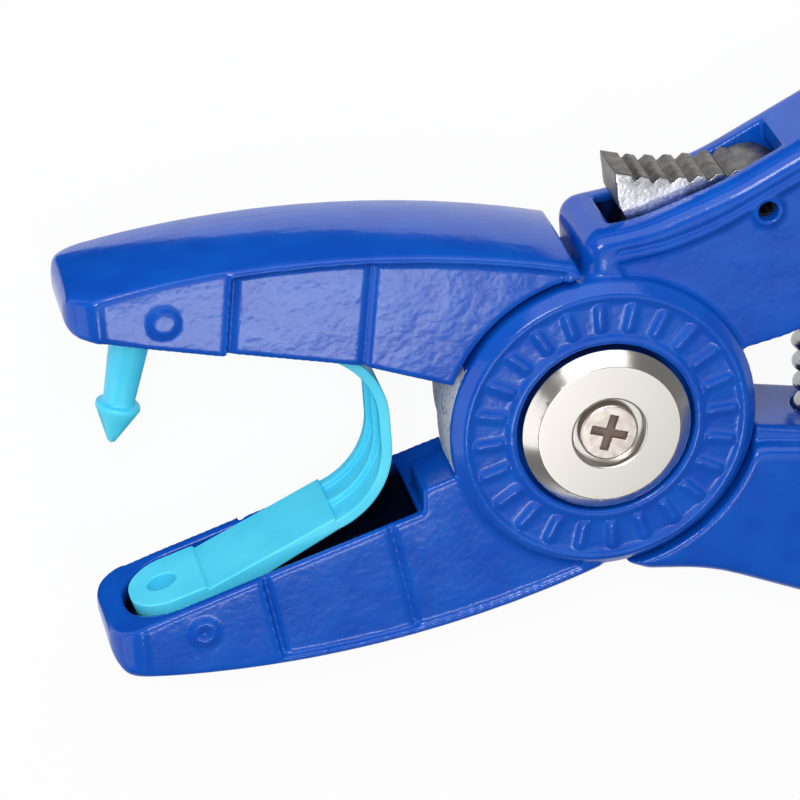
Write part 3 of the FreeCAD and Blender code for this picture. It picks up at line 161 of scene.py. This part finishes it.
# The tent is white to look at and gives a fifth of that as light.
world = bpy.data.worlds.new("room")
bpy.context.scene.world = world
world.use_nodes = True
tree = world.node_tree
seen = add(tree, "LightPath")
bright = add(tree, "MapRange", {"Value": seen.outputs["Is Camera Ray"], "To Min": ROOM_LIGHT,
                                "To Max": 1.0})
tree.nodes["Background"].inputs["Color"].default_value = linear("ffffff")
tree.links.new(bright.outputs[0], tree.nodes["Background"].inputs["Strength"])


def softbox(name, place, target, size, power):
    """A rectangular lamp at a place, aimed at a target."""
    lamp = bpy.data.lights.new(name, "AREA")
    lamp.shape = "RECTANGLE"
    lamp.size, lamp.size_y = size
    lamp.energy = power
    thing = bpy.data.objects.new(name, lamp)
    bpy.context.scene.collection.objects.link(thing)
    aim = Vector(target) - Vector(place)
    turned = aim.to_track_quat("-Z", "Y").to_matrix().to_4x4()
    thing.matrix_world = Matrix.Translation(place) @ turned


# Black cards on the table, out of sight, keep it from whitening the glossy edges. Their
# corners are in millimetres.
CARD_LIFT = 0.1 * MM
black, tree, out = new_material("black_card")
matt = add(tree, "BsdfDiffuse", {"Color": linear("060608")})
tree.links.new(matt.outputs[0], out.inputs["Surface"])
for name, outline in (
        ("card_behind", [(-130, 28), (-95, 37), (-62, 47), (-25, 50), (4, 47), (12, 52),
                         (45, 64), (80, 84), (150, 96), (150, 220), (-130, 220)]),
        ("card_in_mouth", [(-100, -34), (-24, -12), (-24, 8), (-100, 2)])):
    card = flat_sheet(name, [(x * MM, y * MM, level + CARD_LIFT) for x, y in outline], black)
    card.visible_camera = False
    card.visible_diffuse = False
    card.visible_shadow = False

# Places and sizes are in metres, powers in watts.
softbox("overhead", (0.12, -0.13, 0.85), (0.12, -0.13, 0), (0.7, 0.52), 0.95)
softbox("camera_side", (-0.3, 0.6, 1.0), (0, 0, 0), (0.4, 0.28), 6.2)
softbox("behind", (0.05, 0.85, 0.6), (0, 0, 0), (1.2, 0.7), 4.4)
softbox("tip_side", (-0.9, -0.1, 0.35), (0, 0, 0), (0.9, 0.6), 2.0)
softbox("glint", (0.035, -0.315, 0.75), (-0.05, 0.02, 0.02), (0.17, 0.05), 0.36)

# ----------------------------------------------------------- the enamelled levers
# Two aluminium die castings, baked in a thick glossy blue enamel that rounds every edge
# and sets with a hammered, orange-peel surface.
ENAMEL_LIGHT, ENAMEL_DARK, ENAMEL_PAINTED_SHADE = "0856c0", "064cb8", "090c28"
WAVE_SPACING, WAVE_HEIGHT = 6 * MM, 0.075 * MM
PEEL_SPACING, PEEL_HEIGHT = 1.4 * MM, 0.028 * MM
PORE_SPACING = 0.8 * MM
COAT_GRAIN = 0.36 * MM
COAT_PASSES = 7
LEVER_FACES = 190000
MERGE_GAP = 0.001 * MM
FLAT_ENOUGH = math.radians(0.05)
TIP_RUB = (-78 * MM, -86 * MM)
TIP_PASSES = 24
enamel, tree, out = new_material("baked_blue_enamel")
place = add(tree, "TexCoord")
# The thick coat ran in slow waves, under a finer orange peel.
waves = add(tree, "TexNoise", {"Vector": place.outputs["Object"], "Scale": 1 / WAVE_SPACING,
                               "Detail": 1.0, "Roughness": 0.4})
peel = add(tree, "TexNoise", {"Vector": place.outputs["Object"], "Scale": 1 / PEEL_SPACING,
                              "Detail": 1.0})
slow = add(tree, "Bump", {"Height": waves.outputs["Fac"], "Strength": 1.0,
                          "Distance": WAVE_HEIGHT})
fine = add(tree, "Bump", {"Height": peel.outputs["Fac"], "Strength": 1.0,
                          "Distance": PEEL_HEIGHT, "Normal": slow.outputs["Normal"]})
shade = ramp(tree, waves.outputs["Fac"], (0.3, ENAMEL_DARK), (0.7, ENAMEL_LIGHT))
# The floors of the tray and the thumb slot are drawn almost black: painted shade and
# painted dark reflection in the deep hollows, not a colour of the enamel. That is a
# guess: on the real tool, shade and reflections may do it.
painted_shade = add(tree, "Attribute", attribute_name="painted_shade")
coat_with_painted_shade = add(tree, "Mix", {"Factor": painted_shade.outputs["Fac"], "A": shade,
                         "B": linear(ENAMEL_PAINTED_SHADE)}, data_type="RGBA")
coat = add(tree, "BsdfPrincipled", {
    "Base Color": coat_with_painted_shade.outputs["Result"], "Roughness": 0.16, "IOR": 1.5,
    "Specular IOR Level": 0.36, "Normal": fine.outputs["Normal"]})
# The lathe leaves the rims of the hub bare: dull aluminium with dark pores. It is drawn
# paler and less metallic than the real metal, as painted light, to look as bright as it does
# in the mouth.
pores = add(tree, "TexNoise", {"Vector": place.outputs["Object"], "Scale": 1 / PORE_SPACING,
                               "Detail": 2.0})
grey = ramp(tree, pores.outputs["Fac"], (0.32, "6e707a"), (0.4, "e2e4ea"), (0.7, "eef0f4"))
turned = add(tree, "BsdfPrincipled", {"Base Color": grey, "Metallic": 0.15, "Roughness": 0.5})
bare = add(tree, "Attribute", attribute_name="bare")
skin = add(tree, "MixShader", {0: bare.outputs["Fac"], 1: coat.outputs[0],
                               2: turned.outputs[0]})
tree.links.new(skin.outputs[0], out.inputs["Surface"])


def copy_of(node, name):
    """A merged copy of a CAD node's mesh, to be finished and shown in its place."""
    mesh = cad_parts[node].data.copy()
    body = bmesh.new()
    body.from_mesh(mesh)
    bmesh.ops.remove_doubles(body, verts=body.verts, dist=MERGE_GAP)
    bmesh.ops.dissolve_limit(body, angle_limit=FLAT_ENOUGH, verts=body.verts,
                             edges=body.edges, use_dissolve_boundaries=False)
    body.to_mesh(mesh)
    body.free()
    mesh.materials.clear()
    copy = bpy.data.objects.new(name, mesh)
    bpy.context.scene.collection.objects.link(copy)
    return copy


def apply_modifiers(thing):
    """Turns a piece into what its modifiers make of it."""
    shaped = bpy.data.meshes.new_from_object(
        thing.evaluated_get(bpy.context.evaluated_depsgraph_get()))
    thing.modifiers.clear()
    thing.data = shaped


def coat_over(thing, grain, passes, most_faces, tip=None):
    """Rounds a piece all over, as a thick coat or long tumbling does: its skin is drawn
    again on a fine grain, evened out, more so from tip[0] to tip[1] along X, and thinned."""
    skin = thing.modifiers.new("skin", "REMESH")
    skin.mode = "VOXEL"
    skin.voxel_size = grain
    apply_modifiers(thing)
    even = thing.modifiers.new("even", "SMOOTH")
    even.factor = 0.5
    even.iterations = passes
    if tip:
        near = thing.vertex_groups.new(name="tip")
        for corner in thing.data.vertices:
            share = (tip[0] - corner.co.x) / (tip[0] - tip[1])
            if share > 0:
                near.add([corner.index], min(1.0, share), "REPLACE")
        rub = thing.modifiers.new("rub", "SMOOTH")
        rub.factor = 0.5
        rub.iterations = TIP_PASSES
        rub.vertex_group = "tip"
    thin = thing.modifiers.new("thin", "DECIMATE")
    thin.ratio = min(1.0, most_faces / (2 * len(thing.data.polygons)))
    apply_modifiers(thing)
    for face in thing.data.polygons:
        face.use_smooth = True


# The lower jaw slants down from the pivot, and its tray opens towards the other jaw.
JAW_SLANT = math.radians(15)
JAW_ALONG = Vector((-math.cos(JAW_SLANT), -math.sin(JAW_SLANT), 0))
JAW_MOUTH = Vector((-math.sin(JAW_SLANT), math.cos(JAW_SLANT), 0))
TRAY_RIM = -2.88 * MM
TRAY_START, TRAY_TIP = 30 * MM, -85 * MM
TRAY_SIDES = (3.6 * MM, 24.4 * MM)
TRAY_SHADE_FADE = 3.0 * MM
SLOT_ENDS = (4 * MM, 42 * MM)
SLOT_SIDES = (7.95 * MM, 20.05 * MM)
SLOT_FLOOR, SLOT_LIP = 27 * MM, 35.5 * MM
SLOT_SHADE_FADE = 3.5 * MM
# An outside face below the tray or the slot points away from its mouth by more than this.
OUTSIDE = -0.3


def painted_shade_depth(spot, facing):
    """How far painted shade darkens the coat at a spot on the lower jaw's lever, from 0 to 1.
    """
    height = spot.dot(JAW_MOUTH)
    if (spot.dot(JAW_ALONG) > TRAY_START and height < TRAY_RIM and spot.x > TRAY_TIP
            and TRAY_SIDES[0] < spot.z < TRAY_SIDES[1] and facing.dot(JAW_MOUTH) > OUTSIDE):
        return min(1.0, (TRAY_RIM - height) / TRAY_SHADE_FADE)
    if (SLOT_ENDS[0] < spot.x < SLOT_ENDS[1] and spot.y > SLOT_FLOOR
            and SLOT_SIDES[0] < spot.z < SLOT_SIDES[1] and facing.y > OUTSIDE):
        return max(0.0, min(1.0, (SLOT_LIP - spot.y) / SLOT_SHADE_FADE))
    return 0.0


# The rims of the hub's disks, up to the painted front edge, stay bare between the jaws.
BARE_X, BARE_Y = (-30 * MM, -20 * MM), (-12 * MM, 14 * MM)
RIM_WIDTH = 0.6 * MM
RIM_FACING = 0.9


def on_bare_rim(spot, facing, rim_radius, rim_top):
    """Whether a spot is on the turned rim, where it runs free between the jaws."""
    outwards = Vector((spot.x, spot.y, 0))
    return (abs(outwards.length - rim_radius) < RIM_WIDTH and spot.z < rim_top
            and BARE_X[0] < spot.x < BARE_X[1] and BARE_Y[0] < spot.y < BARE_Y[1]
            and facing.dot(outwards.normalized()) > RIM_FACING)


for node, body, rim_radius, rim_top in (
        ("lower_jaw_lever", "lower_jaw", 27.2 * MM, 25.4 * MM),
        ("upper_jaw_lever", "upper_jaw", 25.2 * MM, 13.0 * MM)):
    lever = copy_of(node, node + "_casting")
    coat_over(lever, COAT_GRAIN, COAT_PASSES, LEVER_FACES, TIP_RUB)
    # The floors of the tray and the thumb slot get painted shade, stored as a face attribute.
    shade_marks = lever.data.attributes.new("painted_shade", "FLOAT", "FACE")
    if node == "lower_jaw_lever":
        for face, mark in zip(lever.data.polygons, shade_marks.data):
            mark.value = painted_shade_depth(face.center, face.normal)
    rims = lever.data.attributes.new("bare", "FLOAT", "FACE")
    for face, mark in zip(lever.data.polygons, rims.data):
        mark.value = float(on_bare_rim(face.center, face.normal, rim_radius, rim_top))
    lever.data.materials.append(enamel)
    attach(lever, body)
    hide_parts(node)

# ----------------------------------------------------------------- the pivot set
# Nickel-plated cap, brushed in rings on its flat and polished on its bevel, with a plated
# cross-recess screw. Under it are a nylon ring, a bolt and washer and a bronze bush. The
# thumb lever's pin and the leaf spring's screw, steel pieces like these, are here too.
SHARP = 28
FLAT_FACE_WEIGHT = 80
CAP_FLAT, CAP_BEVEL = 12.4 * MM, 12.7 * MM
TURNING_SPACING, TURNING_HEIGHT = 0.12 * MM, 0.004 * MM
RECESS_FLOOR, SCREW_FACE = 29.2 * MM, 29.5 * MM
SCREW_CLOUDS = 1.5 * MM
SCREW_TURN = math.radians(-20)


def soften(thing, width, angle=SHARP):
    """Rounds a little each edge that turns by more than the angle, in degrees."""
    edge = thing.modifiers.new("edges", "BEVEL")
    edge.width = width
    edge.segments = 2
    edge.limit_method = "ANGLE"
    edge.angle_limit = math.radians(angle)
    edge.use_clamp_overlap = True
    for face in thing.data.polygons:
        face.use_smooth = True
    even = thing.modifiers.new("even_light", "WEIGHTED_NORMAL")
    even.weight = FLAT_FACE_WEIGHT
    apply_modifiers(thing)


def fit(node, body, material, width):
    """Shows a softened copy of a CAD node in its own material."""
    piece = copy_of(node, node + "_piece")
    soften(piece, width)
    piece.data.materials.append(material)
    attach(piece, body)
    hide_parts(node)
    return piece


def clouded(name, spacing, detail, dark, light, metallic, roughness):
    """A material in two tones that drift into each other, this far apart."""
    material, tree, out = new_material(name)
    place = add(tree, "TexCoord")
    clouds = add(tree, "TexNoise", {"Vector": place.outputs["Object"], "Scale": 1 / spacing,
                                    "Detail": detail})
    tone = ramp(tree, clouds.outputs["Fac"], dark, light)
    skin = add(tree, "BsdfPrincipled", {"Base Color": tone, "Metallic": metallic,
                                        "Roughness": roughness})
    tree.links.new(skin.outputs[0], out.inputs["Surface"])
    return material


# Nickel plate is bright and a little warm, with fine rings from the lathe.
nickel, tree, out = new_material("brushed_nickel_plate")
place = add(tree, "TexCoord")
apart = add(tree, "SeparateXYZ", {"Vector": place.outputs["Object"]})
flat = add(tree, "CombineXYZ", {"X": apart.outputs["X"], "Y": apart.outputs["Y"]})
radius = add(tree, "VectorMath", {0: flat.outputs[0]}, operation="LENGTH")
# The turning lines are drawn coarser than real ones, so that they show.
rings = add(tree, "TexNoise", {"W": radius.outputs["Value"], "Scale": 1 / TURNING_SPACING,
                               "Detail": 2.0}, noise_dimensions="1D")
scratch = add(tree, "Bump", {"Height": rings.outputs["Fac"], "Strength": 0.5,
                             "Distance": TURNING_HEIGHT})
edge = add(tree, "MapRange", {"Value": radius.outputs["Value"], "From Min": CAP_FLAT,
                              "From Max": CAP_BEVEL, "To Min": 0.3, "To Max": 0.2})
metal = add(tree, "BsdfPrincipled", {
    "Base Color": linear("dedad4"), "Metallic": 1.0, "Roughness": edge.outputs[0],
    "Normal": scratch.outputs["Normal"]})
tree.links.new(metal.outputs[0], out.inputs["Surface"])
fit("pivot_cap", "lower_jaw", nickel, 0.12 * MM)

# The screw is plated steel, rosy beside the cap, with faint clouds in its shine.
plated, tree, out = new_material("plated_screw_steel")
place = add(tree, "TexCoord")
apart = add(tree, "SeparateXYZ", {"Vector": place.outputs["Object"]})
cloud = add(tree, "TexNoise", {"Vector": place.outputs["Object"], "Scale": 1 / SCREW_CLOUDS,
                               "Detail": 3.0})
tone = ramp(tree, cloud.outputs["Fac"], (0.35, "cfc4bb"), (0.65, "e6dcd4"))
# The recess below the head's face is drawn in a darker, dull brown.
sunk = add(tree, "MapRange", {"Value": apart.outputs["Z"], "From Min": RECESS_FLOOR,
                              "From Max": SCREW_FACE})
metal = add(tree, "BsdfPrincipled", {"Base Color": tone, "Metallic": 1.0, "Roughness": 0.26})
recess_brown = add(tree, "BsdfPrincipled", {"Base Color": linear("7c6c62"), "Roughness": 0.5})
face = add(tree, "MixShader", {0: sunk.outputs[0], 1: recess_brown.outputs[0], 2: metal.outputs[0]})
tree.links.new(face.outputs[0], out.inputs["Surface"])
screw = fit("pivot_screw", "lower_jaw", plated, 0.12 * MM)
screw.data.transform(Matrix.Rotation(SCREW_TURN, 4, "Z"))

# Zinc plate is pale grey, with the cloudy bloom of its passivation.
zinc = clouded("zinc_plate", 2.5 * MM, 4.0, (0.3, "9a9c9e"), (0.7, "c4c6c8"), 1.0, 0.3)
for node, body, width in (
        ("pivot_bolt", "lower_jaw", 0.25 * MM), ("thrust_washer", "lower_jaw", 0.1 * MM),
        ("clip_screw", "upper_jaw", 0.1 * MM)):
    fit(node, body, zinc, width)

# The pin, seen only down its hole, is drawn almost black and half dull: painted shade.
pin_steel_painted_dark = clouded("pin_steel_painted_shade", 1 * MM, 2.0, (0.3, "101014"), (0.7, "24242a"), 0.5, 0.5)
fit("lever_pin", "lower_jaw", pin_steel_painted_dark, 0.1 * MM)

# Moulded nylon is black and dull, with a fine grain.
nylon = clouded("black_nylon", 0.6 * MM, 2.0, (0.3, "08080a"), (0.7, "16161a"), 0.0, 0.6)
fit("friction_ring", "lower_jaw", nylon, 0.1 * MM)

# Oil-soaked bronze is a dark gold with brown clouds.
bronze = clouded("oiled_bronze", 3 * MM, 3.0, (0.3, "8a6230"), (0.7, "b08848"), 1.0, 0.35)
fit("pivot_bush", "upper_jaw", bronze, 0.1 * MM)

# --------------------------------------------------------------- the thumb lever
# Bare zinc die casting, tumbled until it sparkles, with serrations on top drawn darker
# and duller as painted shade; it turns on a pin through the two cheeks of the handle.
DENT_SPACING, DENT_DEPTH = 0.7 * MM, 0.06 * MM
PATCH_SPACING = 5 * MM
THUMB_GRAIN = 0.2 * MM
THUMB_PASSES = 4
THUMB_FACES = 120000
SIDE_FACING = 0.6
# The tumbled sides have small bright dents, in lighter and darker patches.
cast, tree, out = new_material("tumbled_zinc_casting")
place = add(tree, "TexCoord")
grit = add(tree, "TexNoise", {"Vector": place.outputs["Object"], "Scale": 1 / DENT_SPACING,
                              "Detail": 3.0})
patches = add(tree, "TexNoise", {"Vector": place.outputs["Object"], "Scale": 1 / PATCH_SPACING,
                                 "Detail": 2.0})
tone = ramp(tree, patches.outputs["Fac"], (0.35, "9c9da2"), (0.6, "d8d9de"))
rough = add(tree, "MapRange", {"Value": grit.outputs["Fac"], "To Min": 0.18, "To Max": 0.42})
sand = add(tree, "Bump", {"Height": grit.outputs["Fac"], "Strength": 1.0,
                          "Distance": DENT_DEPTH})
metal = add(tree, "BsdfPrincipled", {
    "Base Color": tone, "Metallic": 1.0, "Roughness": rough.outputs[0],
    "Normal": sand.outputs["Normal"]})
tree.links.new(metal.outputs[0], out.inputs["Surface"])
# The top and every face that does not face sideways are drawn darker and duller: painted
# shade.
painted_shade_zinc = clouded("zinc_casting_painted_shade", 1.6 * MM, 3.0, (0.3, "5c5a58"), (0.7, "8a8886"),
               0.85, 0.42)
thumb = copy_of("thumb_lever", "thumb_lever_piece")
coat_over(thumb, THUMB_GRAIN, THUMB_PASSES, THUMB_FACES)
thumb.data.materials.append(cast)
thumb.data.materials.append(painted_shade_zinc)
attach(thumb, "thumb_lock")
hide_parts("thumb_lever")
# Faces that do not face sideways take the darker copy: painted shade.
for face in thumb.data.polygons:
    face.material_index = 0 if abs(face.normal.z) > SIDE_FACING else 1

# ------------------------------------------------------------------- the springs
# Bright hard-drawn wire with streaks from the die. The return spring stands between the
# two handles, the small one lifts the thumb lever, and a leaf holds the tag's male end.
WIRE_SHARP = 60
STREAK_SPACING = 1.2 * MM
wire, tree, out = new_material("bright_spring_wire")
place = add(tree, "TexCoord")
drawn = add(tree, "TexNoise", {"Vector": place.outputs["Object"], "Scale": 1 / STREAK_SPACING,
                               "Detail": 2.0})
rough = add(tree, "MapRange", {"Value": drawn.outputs["Fac"], "To Min": 0.14, "To Max": 0.26})
metal = add(tree, "BsdfPrincipled", {
    "Base Color": linear("a4a6a8"), "Metallic": 1.0, "Roughness": rough.outputs[0]})
tree.links.new(metal.outputs[0], out.inputs["Surface"])
fit("tag_clip", "upper_jaw", wire, 0.1 * MM)
for node, other, foot, head in (
        ("return_spring", "upper_jaw", (0.0445, 0.022, 0.014), (0.0445, -0.008, 0.014)),
        ("lever_spring", "thumb_lock", (0.0175, 0.0262, 0.014), (0.0175, 0.0318, 0.014))):
    coil = copy_of(node, node + "_piece")
    soften(coil, 0.05 * MM, WIRE_SHARP)
    coil.data.materials.append(wire)
    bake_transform(coil)
    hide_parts(node)

# ----------------------------------------------------------------------- the tag
# A two-part ear tag on one strap, moulded in sky-blue polyurethane: smooth, bright
# and slightly translucent.
FLOW_SPACING, FLOW_HEIGHT = 8 * MM, 0.1 * MM
GLOW_DEPTH = 2 * MM
TAG_EDGE = 0.3 * MM
STRAP_SIDE = 8 * MM
STRAP_END = 0.15 * MM
STRAP_RUN_ON = 0.8 * MM
plastic, tree, out = new_material("moulded_polyurethane")
place = add(tree, "TexCoord")
flow = add(tree, "TexNoise", {"Vector": place.outputs["Object"], "Scale": 1 / FLOW_SPACING,
                              "Detail": 2.0})
tone = ramp(tree, flow.outputs["Fac"], (0.3, "4cd8fb"), (0.7, "5ce1fe"))
dip = add(tree, "Bump", {"Height": flow.outputs["Fac"], "Strength": 0.4,
                         "Distance": FLOW_HEIGHT})
moulded = add(tree, "BsdfPrincipled", {
    "Base Color": tone, "Roughness": 0.38, "IOR": 1.5,
    "Subsurface Weight": 0.3, "Subsurface Radius": (0.3, 0.9, 1.0),
    "Subsurface Scale": GLOW_DEPTH, "Normal": dip.outputs["Normal"]})
tree.links.new(moulded.outputs[0], out.inputs["Surface"])
fit("tag_female_end", "lower_jaw", plastic, TAG_EDGE)
fit("tag_male_end", "upper_jaw", plastic, TAG_EDGE)
strap = copy_of("tag_loop", "tag_loop_piece")
# Each end face of the strap, past STRAP_SIDE from the middle and within STRAP_END of its
# furthest corner, runs on a little way inside the tag's end, along the slant it has there.
for side, slant in ((-1, math.radians(23)), (1, math.radians(15))):
    along = Vector((-math.cos(slant), side * math.sin(slant), 0))
    end = [corner for corner in strap.data.vertices if corner.co.y * side > STRAP_SIDE]
    reach = max(corner.co.dot(along) for corner in end)
    for corner in end:
        if corner.co.dot(along) > reach - STRAP_END:
            corner.co += along * STRAP_RUN_ON
soften(strap, TAG_EDGE)
strap.data.materials.append(plastic)
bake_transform(strap)
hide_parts("tag_loop")
